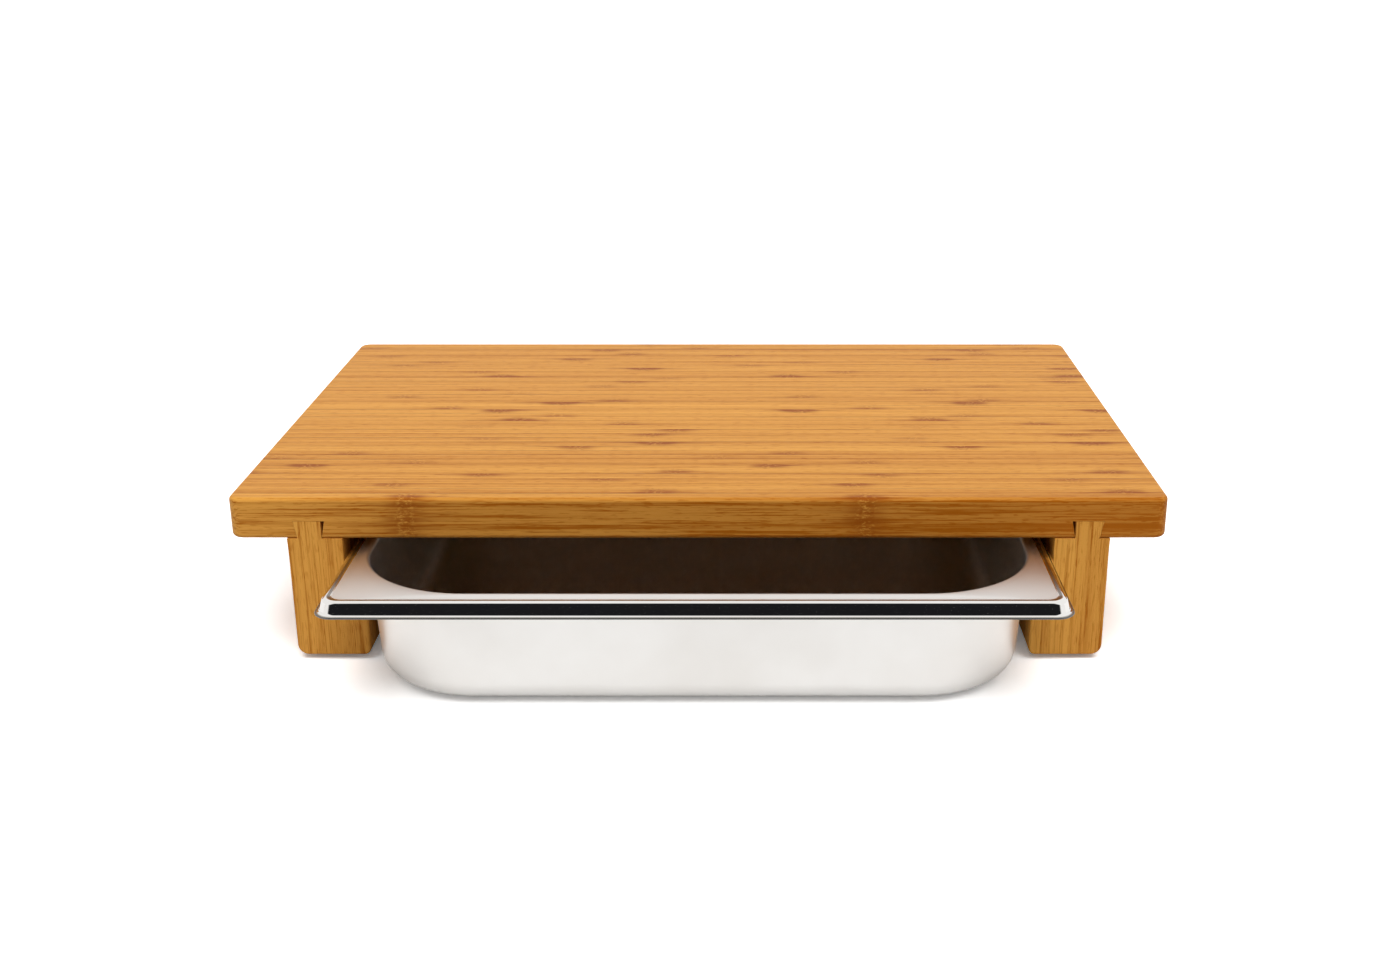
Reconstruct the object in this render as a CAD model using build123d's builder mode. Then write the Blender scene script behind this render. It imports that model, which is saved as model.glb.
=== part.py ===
"""Cutting board of glued bamboo strips on two rabbeted legs, over a steel tray that slides out.

Millimetres, +X right, +Y away from the user, +Z up. z = 0 is the worktop, x = 0 the middle of
the board, and y = 0 halfway between the front lip of the tray, pulled out, and the back of the board.
"""
import os
from math import radians, tan

from build123d import *

os.makedirs("parts", exist_ok=True)

# ---- board: strips stood on edge and glued side by side ----
strip_count = 40  # from front to back
strip_thickness = 6.9  # along Y
board_width = 430.0  # along X, the length of a strip
board_thickness = 19.7  # along Z, the height of a strip
board_corner_radius = 6.0  # the four upright corners
board_edge_radius = 2.0  # round the top and the underside

# ---- tray: one deep-drawn steel sheet with a stepped rim ----
tray_width = 325.0  # over the lip, along X
tray_length = 265.0  # over the lip, along Y
tray_depth = 55.0  # from the flange down to the underside of the bottom
sheet = 0.8
rim_width = 12.0  # from the edge of the lip to the opening
rim_height = 6.75  # from the flange down to the underside of the lip
lip_reach = 2.5  # how far the lip stands out from the wall of the rim
shoulder_radius = 2.0  # flange to rim wall
cove_radius = 1.5  # rim wall to lip
lip_corner_radius = 8.5  # in plan
opening_radius = 52.0  # corners of the opening, in plan
opening_edge_radius = 3.0  # flange to tray wall
bottom_radius = 11.0  # tray wall to bottom, outside
draft = 4.0  # degrees that the tray walls lean in

# ---- legs: two glued layers each, with a ledge for the tray and a dovetail tongue ----
outer_layer = 15.6
inner_layer = 18.6
ledge_depth = 8.8  # how far the ledge reaches in under the lip
tongue_setback = 5.0  # from the outer face of the leg to the neck of the tongue
tongue_neck = 11.0  # width of the tongue at the underside of the board
tongue_flare = 1.7  # how far the groove's flanks and the tongue's outer flank lean out at the top
inner_flare = 0.0  # the same for the tongue's inner flank, which leaves a wedge-shaped gap in the groove
tongue_height = 8.5
foot_outer_radius = 5.0  # bottom edge on the outer side
foot_inner_radius = 3.0  # bottom edge on the tray side
leg_edge_radius = 1.0  # round the front and back faces, and on the ledge

# ---- anti-slip pads under the legs ----
pad_radius = 6.0
pad_height = 2.5
pad_edge_radius = 0.5
pad_setback = 24.0  # from the ends of a leg to the middle of a pad

# ---- clearances and places ----
side_clearance = 1.0  # lip to leg, each side
ledge_clearance = 0.2  # lip over the ledge
headroom = 4.25  # flange to the underside of the board
ground_clearance = 1.85  # bottom of the tray over the worktop
dovetail_clearance = 0.1  # tongue to groove, each face
pulled_out = 65.3  # front lip past the front of the board, in the pose modelled

# ---- worked out from the values above ----
board_depth = strip_count * strip_thickness
front_y = (pulled_out - board_depth) / 2
back_y = front_y + board_depth
middle_y = front_y + board_depth / 2

tray_middle_y = front_y - pulled_out + tray_length / 2
flange_z = ground_clearance + tray_depth
lip_z = flange_z - rim_height
ledge_z = lip_z - ledge_clearance
underside_z = flange_z + headroom
tongue_top_z = underside_z + tongue_height

slot_x = tray_width / 2 + side_clearance
ledge_x = slot_x - ledge_depth
leg_outer_x = ledge_x + outer_layer + inner_layer
glue_x = leg_outer_x - outer_layer
neck_outer_x = leg_outer_x - tongue_setback
neck_inner_x = neck_outer_x - tongue_neck

SIDES = {"left": -1, "right": 1}


def save(part, name):
    """Labels a finished piece and writes it to its own file."""
    part.label = name
    export_step(part, f"parts/{name}.step")


def dovetail(side, room, inner_lean):
    """Corners of the tongue's section, or of its groove when room is more than nothing.

    inner_lean is how far the inner flank leans out at the top.
    """
    return [
        (side * (neck_outer_x + room), underside_z),
        (side * (neck_outer_x + tongue_flare + room), tongue_top_z + room),
        (side * (neck_inner_x - inner_lean - room), tongue_top_z + room),
        (side * (neck_inner_x - room), underside_z),
    ]


# ---- board ----
section_plane = Plane(origin=(0, back_y, 0), x_dir=(1, 0, 0), z_dir=(0, -1, 0))

with BuildPart() as slab:
    with BuildSketch(Plane(origin=(0, middle_y, underside_z))):
        RectangleRounded(board_width, board_depth, board_corner_radius)
    extrude(amount=board_thickness)
    fillet(slab.edges().group_by(Axis.Z)[0] + slab.edges().group_by(Axis.Z)[-1], board_edge_radius)
    with BuildSketch(section_plane):
        for side in SIDES.values():
            Polygon(*dovetail(side, dovetail_clearance, tongue_flare), align=None)
    extrude(amount=board_depth, mode=Mode.SUBTRACT)

for index in range(strip_count):
    strip_y = front_y + (index + 0.5) * strip_thickness
    with BuildPart() as strip:
        with BuildSketch(Plane(origin=(0, strip_y, underside_z))):
            Rectangle(board_width, strip_thickness)
        extrude(amount=board_thickness)
        add(slab.part, mode=Mode.INTERSECT)
    save(strip.part, f"board_strip_{index + 1:02d}")


# ---- legs ----
def leg_section(side):
    """Corners of a leg's section, from its outer bottom edge up, over the tongue and down the tray side."""
    tongue = dovetail(side, 0, inner_flare)
    return [
        (side * leg_outer_x, pad_height),
        (side * leg_outer_x, underside_z),
        *tongue,
        (side * slot_x, underside_z),
        (side * slot_x, ledge_z),
        (side * ledge_x, ledge_z),
        (side * ledge_x, pad_height),
    ]


for side_name, side in SIDES.items():
    with BuildPart() as leg:
        with BuildSketch(section_plane):
            Polygon(*leg_section(side), align=None)
        extrude(amount=board_depth)
        bottom = leg.faces().sort_by(Axis.Z)[0]
        bottom_edges = bottom.edges().filter_by(Axis.Y).sort_by(Axis.X)
        outer_edge = bottom_edges[0] if side < 0 else bottom_edges[-1]
        inner_edge = bottom_edges[-1] if side < 0 else bottom_edges[0]
        fillet(outer_edge, foot_outer_radius)
        fillet(inner_edge, foot_inner_radius)
        ledge_edge = leg.edges().filter_by(Axis.Y).sort_by_distance((side * ledge_x, middle_y, ledge_z))[0]
        fillet(ledge_edge, leg_edge_radius)
        end_edges = leg.faces().sort_by(Axis.Y)[0].edges() + leg.faces().sort_by(Axis.Y)[-1].edges()
        low_edges = [e for e in end_edges if e.center().Z < ledge_z - leg_edge_radius]
        fillet(low_edges, leg_edge_radius)

    glue_plane = Plane(origin=(side * glue_x, 0, 0), z_dir=(side, 0, 0))
    for layer_name, kept in (("outer", Keep.TOP), ("inner", Keep.BOTTOM)):
        with BuildPart() as layer:
            add(leg.part)
            split(bisect_by=glue_plane, keep=kept)
        save(layer.part, f"{side_name}_leg_{layer_name}_layer")

# ---- pads ----
pad_x = (leg_outer_x + ledge_x) / 2
PAD_ENDS = {"front": front_y + pad_setback, "back": back_y - pad_setback}

for side_name, side in SIDES.items():
    for end_name, pad_y in PAD_ENDS.items():
        with BuildPart() as pad:
            with BuildSketch(Plane(origin=(side * pad_x, pad_y, 0))):
                Circle(pad_radius)
            extrude(amount=pad_height)
            fillet(pad.edges().group_by(Axis.Z)[0], pad_edge_radius)
        save(pad.part, f"foot_pad_{end_name}_{side_name}")

# ---- tray ----
# The round from the flange into the wall takes this much of the wall's place in plan.
edge_run = opening_edge_radius * tan(radians((90 - draft) / 2))
wall_inset = rim_width + edge_run


def tray_plane(z):
    """A level plane through the middle of the tray."""
    return Plane(origin=(0, tray_middle_y, z))


def tray_outline(inset, radius):
    """The tray's rounded outline, drawn in from the edge of the lip."""
    RectangleRounded(tray_width - 2 * inset, tray_length - 2 * inset, radius)


with BuildPart() as tray_outside:
    with BuildSketch(tray_plane(flange_z)):
        tray_outline(wall_inset - sheet, opening_radius - edge_run + sheet)
    extrude(amount=-tray_depth, taper=draft)
    fillet(tray_outside.edges().group_by(Axis.Z)[0], bottom_radius)

with BuildPart() as tray_inside:
    with BuildSketch(tray_plane(flange_z)):
        tray_outline(wall_inset, opening_radius - edge_run)
    extrude(amount=sheet - tray_depth, taper=draft)
    fillet(tray_inside.edges().group_by(Axis.Z)[0], bottom_radius - sheet)

with BuildPart() as under_rim:
    with BuildSketch(tray_plane(lip_z)):
        tray_outline(lip_reach + sheet, lip_corner_radius - lip_reach - sheet)
    extrude(amount=rim_height - sheet)
    fillet(under_rim.edges().group_by(Axis.Z)[-1], shoulder_radius - sheet)
    add(tray_outside.part, mode=Mode.SUBTRACT)
    roof = under_rim.faces().filter_by(Axis.Z).sort_by(Axis.Z)[-1]
    fillet(roof.inner_wires().edges(), opening_edge_radius - sheet)

with BuildPart() as tray:
    with BuildSketch(tray_plane(lip_z)):
        tray_outline(lip_reach, lip_corner_radius - lip_reach)
    extrude(amount=rim_height)
    fillet(tray.edges().group_by(Axis.Z)[-1], shoulder_radius)
    with BuildSketch(tray_plane(lip_z)):
        tray_outline(0, lip_corner_radius)
    extrude(amount=sheet)
    lip_top = tray.faces().filter_by(Axis.Z).sort_by(Axis.Z)[1]
    fillet(lip_top.inner_wires().edges(), cove_radius)
    add(tray_outside.part)
    add(under_rim.part, mode=Mode.SUBTRACT)
    under_lip = tray.faces().filter_by(Axis.Z).sort_by_distance((0, front_y - pulled_out, lip_z))[0]
    fillet(under_lip.inner_wires().edges(), cove_radius + sheet)
    add(tray_inside.part, mode=Mode.SUBTRACT)
    flange = tray.faces().filter_by(Axis.Z).sort_by(Axis.Z)[-1]
    fillet(flange.inner_wires().edges(), opening_edge_radius)
save(tray.part, "tray")
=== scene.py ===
"""Looks for a bamboo cutting board on two legs, with a stainless steel tray that slides out under it.

Metres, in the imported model's frame: +X right, +Y away from the user, +Z up. z = 0 is the worktop,
and y = 0 is halfway between the front lip of the pulled-out tray and the back of the board.
"""

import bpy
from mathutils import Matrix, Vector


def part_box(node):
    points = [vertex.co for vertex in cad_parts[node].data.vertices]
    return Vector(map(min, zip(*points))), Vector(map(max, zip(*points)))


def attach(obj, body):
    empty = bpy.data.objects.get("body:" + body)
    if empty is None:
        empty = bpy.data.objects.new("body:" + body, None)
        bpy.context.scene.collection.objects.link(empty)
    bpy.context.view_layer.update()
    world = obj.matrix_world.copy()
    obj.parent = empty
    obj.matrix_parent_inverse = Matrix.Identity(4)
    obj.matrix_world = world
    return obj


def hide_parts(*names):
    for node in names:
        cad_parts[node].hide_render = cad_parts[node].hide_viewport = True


bl_info = {
    "name": "Cutting Board with Drawer Tray",
    "version": (1, 0, 0),
    "blender": (4, 5, 0),
    "location": "View3D > Sidebar > Cutting Board",
    "description": "Bamboo strips, glued legs, rubber pads and a drawn steel tray around the packed model",
    "category": "Object",
}

import math
from types import SimpleNamespace

import bmesh
import bpy
import numpy as np
from bpy.props import FloatProperty, FloatVectorProperty, IntProperty, PointerProperty

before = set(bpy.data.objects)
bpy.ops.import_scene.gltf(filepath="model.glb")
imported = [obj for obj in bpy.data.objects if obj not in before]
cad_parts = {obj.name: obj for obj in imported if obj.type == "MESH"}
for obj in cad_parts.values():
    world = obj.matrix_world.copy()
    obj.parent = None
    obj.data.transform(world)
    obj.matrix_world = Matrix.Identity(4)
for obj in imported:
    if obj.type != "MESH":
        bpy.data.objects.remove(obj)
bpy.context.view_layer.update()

MM = 0.001
STRIP_COUNT = 40
BOARD_MIN, BOARD_MAX = np.array([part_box(f"board_strip_{i + 1:02d}") for i in range(STRIP_COUNT)]).transpose(1, 0, 2)
BOARD_LOW = BOARD_MIN.min(axis=0)
BOARD_HIGH = BOARD_MAX.max(axis=0)
PITCH = (BOARD_HIGH[1] - BOARD_LOW[1]) / STRIP_COUNT
TRAY_LOW, TRAY_HIGH = (np.array(corner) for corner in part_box("tray"))
TRAY_LENGTHS = (
    "sheet", "depth", "rim_width", "rim_height", "lip_reach", "shoulder", "cove", "crease", "dip", "lip_corner",
    "opening_radius", "opening_edge", "widen", "bottom_radius",
)

# Where each strip's knuckles lie along it: the place of one, the gap to the next, and how dark
# they are from 0 to 1. The first row is the front strip. Strips not listed get seeded values.
KNUCKLES = {
    0: (-133.5, 210.2, 0.9), 1: (-19.9, 215.3, 0.8), 2: (72.2, 214.0, 0.6), 3: (-44.0, 219.0, 0.4),
    4: (87.2, 190.3, 0.5), 5: (-12.0, 206.6, 0.6), 6: (33.2, 222.1, 0.9), 7: (-138.1, 217.1, 0.4),
    8: (-207.3, 215.0, 0.3), 9: (-172.3, 215.5, 0.5), 10: (129.0, 192.0, 0.7), 11: (-23.8, 218.4, 1.0),
    12: (-110.6, 215.0, 0.3), 13: (-27.1, 215.1, 0.6), 14: (-14.8, 220.1, 0.6), 16: (172.5, 215.0, 0.5),
    17: (-97.8, 215.0, 0.8), 18: (136.8, 215.0, 0.4), 19: (-110.3, 160.4, 1.0), 21: (-79.0, 221.5, 1.0),
    25: (-126.7, 248.7, 0.4), 26: (155.3, 215.0, 0.4), 27: (-43.1, 244.4, 0.5), 29: (-118.3, 163.0, 1.0),
    31: (-37.6, 244.2, 0.9), 34: (135.8, 215.0, 0.8), 37: (-64.5, 221.3, 0.7),
}

# Tone, as a share of the dark colour: of the front strip in its middle and per metre to the right, and of the legs.
FRONT_TONE = (0.20, 1.1)
# The left inner leg layer is darker and the right inner layer lighter: partly the laths' own tone, partly painted shade
# from the tray on the left and painted light on the right.
LEG_TONES_AND_PAINTED_LIGHT = {("left", "outer"): 0.04, ("left", "inner"): 0.18, ("right", "outer"): 0.04, ("right", "inner"): -0.45}


# ---------------------------------------------------------------- colours and nodes
def linear(hex_colour):
    """An sRGB hex colour as linear RGBA: c / 12.92 where c is up to 0.04045, else ((c + 0.055) / 1.055) ^ 2.4."""
    c = np.array([int(hex_colour[i:i + 2], 16) for i in (1, 3, 5)]) / 255
    return (*np.where(c <= 0.04045, c / 12.92, ((c + 0.055) / 1.055) ** 2.4), 1.0)


def add_node(tree, kind, sockets=None, **settings):
    """Adds one node: settings are its properties, and sockets are its inputs, each a value or an output to link."""
    node = tree.nodes.new(kind)
    for name, value in settings.items():
        setattr(node, name, value)
    for name, value in (sockets or {}).items():
        if isinstance(value, bpy.types.NodeSocket):
            tree.links.new(value, node.inputs[name])
        else:
            node.inputs[name].default_value = value
    return node


def new_material(name):
    """An empty node material, and its output node."""
    material = bpy.data.materials.new(name)
    material.use_nodes = True
    material.node_tree.nodes.clear()
    return material, add_node(material.node_tree, "ShaderNodeOutputMaterial")


def colour_property(name, description, hex_colour):
    """A colour that the user may change."""
    return FloatVectorProperty(
        name=name, description=description, subtype="COLOR", size=4, min=0, max=1, default=linear(hex_colour)
    )


# ---------------------------------------------------------------- meshes
def finish_mesh(name, rows, body, node, values=None, smooth_under=35, keep_flats=False):
    """Makes a piece from closed loops of points and puts it in place of a CAD node.

    rows is an array (loops, points, 3). Four-sided faces join each loop to the next, and one face closes the
    first loop and one the last. values holds an attribute per loop, or one number for the whole piece.
    """
    count, points = rows.shape[:2]
    index = np.arange(count * points).reshape(count, points)
    beside = np.roll(index, -1, axis=1)
    quads = np.stack((index[:-1], beside[:-1], beside[1:], index[1:]), axis=-1).reshape(-1, 4)
    mesh = bpy.data.meshes.new(name)
    mesh.from_pydata(rows.reshape(-1, 3).tolist(), [], quads.tolist() + [index[0, ::-1].tolist(), index[-1].tolist()])
    for key, value in (values or {}).items():
        per_point = np.broadcast_to(np.reshape(value, (-1, 1)), (count, points)).ravel()
        mesh.attributes.new(key, "FLOAT", "POINT").data.foreach_set("value", per_point.astype(np.float32))
    merged = bmesh.new()
    merged.from_mesh(mesh)
    bmesh.ops.remove_doubles(merged, verts=merged.verts, dist=1e-6)
    bmesh.ops.dissolve_degenerate(merged, edges=merged.edges, dist=1e-6)
    bmesh.ops.recalc_face_normals(merged, faces=merged.faces)
    merged.to_mesh(mesh)
    merged.free()
    mesh.polygons.foreach_set("use_smooth", np.ones(len(mesh.polygons), bool))
    mesh.set_sharp_from_angle(angle=math.radians(smooth_under))
    piece = bpy.data.objects.new(name, mesh)
    bpy.context.scene.collection.objects.link(piece)
    if keep_flats:
        piece.modifiers.new("flat faces stay flat", "WEIGHTED_NORMAL").keep_sharp = True
    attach(piece, body)
    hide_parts(node)
    return piece


def arc(centre, radius, start, end, count):
    """Points of an arc: centre + radius * (cos a, sin a), with a from start to end in degrees."""
    a = np.radians(np.linspace(start, end, count))
    return np.stack((centre[0] + radius * np.cos(a), centre[1] + radius * np.sin(a)), axis=-1)


def rounded_rectangle(half_width, half_length, radius, arc_points=24, side_points=24):
    """A rounded rectangle about the origin, anticlockwise from the right side's lower end.

    Each corner is the arc (half_width - radius, half_length - radius) + radius * (cos a, sin a), and each side
    is divided evenly, so that two of them with different radii can be joined point by point.
    """
    a = np.radians(np.linspace(0, 90, arc_points))
    inner = np.array((half_width - radius, half_length - radius))
    quarter = radius * np.stack((np.cos(a), np.sin(a)), axis=-1)
    corners = [
        inner * sign + quarter @ np.array(turn)
        for sign, turn in (
            ((1, 1), ((1, 0), (0, 1))),
            ((-1, 1), ((0, 1), (-1, 0))),
            ((-1, -1), ((-1, 0), (0, -1))),
            ((1, -1), ((0, -1), (1, 0))),
        )
    ]
    t = np.linspace(0, 1, side_points + 2)[1:-1, None]
    sides = [corners[i][-1] + t * (corners[(i + 1) % 4][0] - corners[i][-1]) for i in range(4)]
    return np.concatenate([part for pair in zip(corners, sides) for part in pair])


# ---------------------------------------------------------------- bamboo
def bamboo(name, grain, colours, settings):
    """Laminated bamboo, oiled: laths glued edge to edge, with fibre bundles, denser to one side of each lath.

    It gives the eye warm ochre laths that differ a little in tone, hair-thin darker bundles along them, dark
    feathered knuckles every 215 mm or so, and thin glue lines. grain is the axis that the laths run along. The
    laths follow each other along Y. The pattern is solid, so cut ends show the bundles as dots.
    """
    material, output = new_material(name)
    tree = material.node_tree
    place = add_node(tree, "ShaderNodeTexCoord").outputs
    axes = add_node(tree, "ShaderNodeSeparateXYZ", {0: place["Object"]}).outputs
    along, other = (axes["X"], axes["Z"]) if grain == "X" else (axes["Z"], axes["X"])
    laid = add_node(tree, "ShaderNodeCombineXYZ", {0: along, 1: axes["Y"], 2: other}).outputs[0]
    values = {
        key: add_node(tree, "ShaderNodeAttribute", attribute_name=key).outputs["Fac"]
        for key in ("batch", "tone", "tone_slope", "knuckle_at", "knuckle_gap", "knuckle_dark")
    }
    facing = add_node(tree, "ShaderNodeSeparateXYZ", {0: place["Normal"]}).outputs["Y"]

    # Laths counted from the front, with the joints a hair early so that a front face belongs to its own lath.
    front, back = float(BOARD_LOW[1] - 1e-4 * PITCH), float(BOARD_HIGH[1] - 1e-4 * PITCH)
    count = {0: axes["Y"], 1: front, 2: back, 3: 0.0, 4: float(STRIP_COUNT)}
    laths = add_node(tree, "ShaderNodeMapRange", count, clamp=False).outputs[0]
    lath = add_node(tree, "ShaderNodeMath", {0: laths}, operation="FLOOR").outputs[0]
    seed = add_node(tree, "ShaderNodeCombineXYZ", {0: lath, 1: values["batch"]}).outputs[0]
    dice = add_node(tree, "ShaderNodeTexWhiteNoise", {"Vector": seed}, noise_dimensions="3D").outputs["Color"]
    turned, toned, moved = add_node(tree, "ShaderNodeSeparateColor", {0: dice}).outputs
    # This moves each lath's pattern away from its neighbour's, and each joint's from the next one's.
    apart = add_node(tree, "ShaderNodeMath", {0: moved, 1: 37.0}, operation="MULTIPLY").outputs[0]
    own = add_node(tree, "ShaderNodeCombineXYZ", {0: apart}).outputs[0]
    joint = add_node(tree, "ShaderNodeMath", {0: laths}, operation="ROUND").outputs[0]
    joint = add_node(tree, "ShaderNodeMath", {0: joint, 1: 3.7}, operation="MULTIPLY").outputs[0]
    own_joint = add_node(tree, "ShaderNodeCombineXYZ", {1: joint}).outputs[0]

    # Noise, each by how many times it turns over in a metre along, across and up the lath, then shift, detail and
    # roughness. hairs are fibre bundles, lines under 1 mm wide and some 60 mm long, and groups of them are about
    # 2 mm wide. vessels are cut vessels, dashes about 0.7 mm wide and 6 mm long.
    for key, scale, shift, detail, rough in (
        ("hairs", (17, 1050, 1050), own, 3.0, 0.7),
        ("groups", (4, 480, 480), own, 2.0, 0.6),
        ("vessels", (150, 1300, 1300), (0, 0, 0), 1.0, 0.5),
        ("drift", (5, 0, 25), own, 1.0, 0.5),
        ("slow", (4, 0, 0), own, 1.0, 0.5),
        ("sway", (0, 500, 150), own, 2.0, 0.5),
        ("feathers", (30, 700, 600), (0, 0, 0), 2.0, 0.6),
        ("mottle", (480, 800, 1100), (0, 0, 0), 2.0, 0.7),
        ("joints", (3, 0, 0), own_joint, 1.0, 0.5),
    ):
        at = add_node(tree, "ShaderNodeVectorMath", {0: laid, 1: scale, 2: shift}, operation="MULTIPLY_ADD").outputs[0]
        sockets = {"Vector": at, "Scale": 1.0, "Detail": detail, "Roughness": rough}
        values[key] = add_node(tree, "ShaderNodeTexNoise", sockets).outputs["Fac"]

    values.update(along=along, facing=facing, laths=laths, lath=lath, turned=turned, toned=toned)
    contrast = settings.lath_contrast
    tones = (
        ("toned", contrast), ("drift", 0.6 * contrast), ("dense", settings.dense), ("pale_side", -0.16),
        ("lines", 0.75), ("broad_lines", 1.05), ("vessels", settings.flecks),
    )
    # Each row gives a value its name, a Math operation or SMOOTHSTEP, and the operation's terms. SMOOTHSTEP takes
    # a value that runs from one number to another, and what it becomes there. All lengths are in metres.
    for key, operation, *terms in (
        ("across", "SUBTRACT", "laths", "lath"),  # 0 at a lath's front face and 1 at its back face
        # The distance along the lath to the nearest knuckle.
        ("turns", "SUBTRACT", "along", "knuckle_at"),
        ("turns", "DIVIDE", "turns", "knuckle_gap"),
        ("whole", "ROUND", "turns"),
        ("away", "SUBTRACT", "turns", "whole"),
        ("away", "MULTIPLY", "away", "knuckle_gap"),
        ("sway", "SUBTRACT", "sway", 0.5),
        ("away", "MULTIPLY_ADD", "sway", 0.006, "away"),
        ("distance", "ABSOLUTE", "away"),
        # The outer side of a culm is denser: a darker band along one side of each lath, on the left or the right
        # by chance, and paler tissue along the other side.
        ("turned", "SMOOTHSTEP", "turned", 0.499, 0.501, 0.0, 1.0),
        ("side", "SUBTRACT", "across", "turned"),
        ("side", "ABSOLUTE", "side"),
        ("slow", "SMOOTHSTEP", "slow", 0.3, 0.75, 0.0, 1.0),
        ("slow", "ADD", "slow", "toned"),
        ("dense", "SMOOTHSTEP", "side", 0.55, 0.98, 0.0, 1.0),
        ("dense", "MULTIPLY", "dense", "slow"),
        ("pale_side", "SMOOTHSTEP", "side", 0.0, 0.3, 1.0, 0.0),
        # Fibre bundles stand out more on a lath's broad face, which faces the front, than on its edge.
        ("facing", "ABSOLUTE", "facing"),
        ("broad", "SMOOTHSTEP", "facing", 0.4, 0.9, 0.0, 1.0),
        ("group_lines", "SMOOTHSTEP", "groups", 0.45, 0.7, 0.0, 1.0),
        ("group_lines", "MULTIPLY", "group_lines", settings.groups),
        ("lines", "SMOOTHSTEP", "hairs", 0.49, 0.62, 0.0, 1.0),
        ("lines", "MULTIPLY_ADD", "lines", settings.hairs, "group_lines"),
        ("broad_lines", "MULTIPLY", "lines", "broad"),
        ("vessels", "SMOOTHSTEP", "vessels", 0.56, 0.68, 0.0, 1.0),
        ("drift", "SUBTRACT", "drift", 0.5),
        ("tone", "MULTIPLY_ADD", "tone_slope", "along", "tone"),
        *(("tone", "MULTIPLY_ADD", part, share, "tone") for part, share in tones),
        ("tone", "ADD", "tone", settings.base_tone),
        # A knuckle is a brown streak against the dense side, feathered along the fibres, with a few dark ticks
        # across them in its middle. On the lath's broad face it is a mottled band.
        ("heart", "SMOOTHSTEP", "distance", 0.002, 0.013, 1.0, 0.0),
        ("heart_side", "SMOOTHSTEP", "side", -0.2, 0.7, 0.0, 1.0),
        ("heart", "MULTIPLY", "heart", "heart_side"),
        ("tail", "SMOOTHSTEP", "distance", 0.0, 0.036, 1.0, 0.0),
        ("tail_side", "SMOOTHSTEP", "side", 0.25, 0.85, 0.0, 1.0),
        ("tail", "MULTIPLY", "tail", "tail_side"),
        ("feathers", "SMOOTHSTEP", "feathers", 0.38, 0.60, 0.0, 1.0),
        ("tail", "MULTIPLY", "tail", "feathers"),
        ("marks", "MULTIPLY_ADD", "heart", 0.8, "tail"),
        ("narrow", "MULTIPLY_ADD", "broad", -0.5, 1.0),
        ("marks", "MULTIPLY", "marks", "narrow"),
        ("marks", "MULTIPLY", "marks", "knuckle_dark"),
        ("marks", "MULTIPLY", "marks", 1.1),
        ("band", "SMOOTHSTEP", "distance", 0.002, 0.006, 1.0, 0.0),
        ("flecks", "SMOOTHSTEP", "mottle", 0.52, 0.64, 0.0, 0.65),
        ("flecks", "MULTIPLY", "flecks", "knuckle_dark"),
        ("flecks", "MULTIPLY", "flecks", "band"),
        ("glints", "SMOOTHSTEP", "mottle", 0.36, 0.48, 0.45, 0.0),
        ("glints", "MULTIPLY", "glints", "band"),
        # Glue lines are 0.15 mm. They are drawn 0.35 mm wide so that they show, and stronger on some joints.
        ("far", "SUBTRACT", 1.0, "across"),
        ("edge", "MINIMUM", "across", "far"),
        ("edge", "MULTIPLY", "edge", float(PITCH)),
        ("glue", "SMOOTHSTEP", "edge", 0.00006, 0.00036, 1.0, 0.0),
        ("joints", "SMOOTHSTEP", "joints", 0.48, 0.62, 0.04, 1.0),
        ("glue", "MULTIPLY", "glue", "joints"),
        ("glue_line", "MULTIPLY", "glue", 0.8),
        # Height of the surface and its roughness.
        ("height", "MULTIPLY", "hairs", -0.35),
        ("height", "MULTIPLY_ADD", "groups", -0.3, "height"),
        ("pits", "MULTIPLY", "band", "mottle"),
        ("height", "MULTIPLY_ADD", "pits", -0.9, "height"),
        ("height", "MULTIPLY_ADD", "glue", -0.8, "height"),
        ("rough", "MULTIPLY_ADD", "hairs", 0.12, settings.roughness - 0.06),
    ):
        smooth = operation == "SMOOTHSTEP"
        kind, setting = ("ShaderNodeMapRange", "interpolation_type") if smooth else ("ShaderNodeMath", "operation")
        sockets = {number: values[term] if isinstance(term, str) else term for number, term in enumerate(terms)}
        values[key] = add_node(tree, kind, sockets, **{setting: operation}).outputs[0]

    wood = colours.light
    for key, colour in (
        ("tone", colours.dark), ("marks", colours.knuckle), ("flecks", colours.knuckle), ("glints", colours.light),
        ("glue_line", colours.glue),
    ):
        wood = add_node(tree, "ShaderNodeMix", {0: values[key], 6: wood, 7: colour}, data_type="RGBA").outputs[2]
    bump = add_node(tree, "ShaderNodeBump", {"Height": values["height"], "Strength": 0.5, "Distance": 0.00012})
    shader = add_node(tree, "ShaderNodeBsdfPrincipled", {
        "Base Color": wood, "Roughness": values["rough"], "Specular IOR Level": 0.1, "Normal": bump.outputs[0],
    })
    tree.links.new(shader.outputs[0], output.inputs["Surface"])
    return material


def lath_values(count, seed):
    """Seeded places, gaps and darkness of the knuckles of count laths, as columns."""
    chance = np.random.default_rng(seed).random((count, 3))
    return np.stack((chance[:, 0] * 0.43 - 0.215, 0.195 + 0.04 * chance[:, 1], 0.15 + 0.4 * chance[:, 2]), axis=-1)


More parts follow.
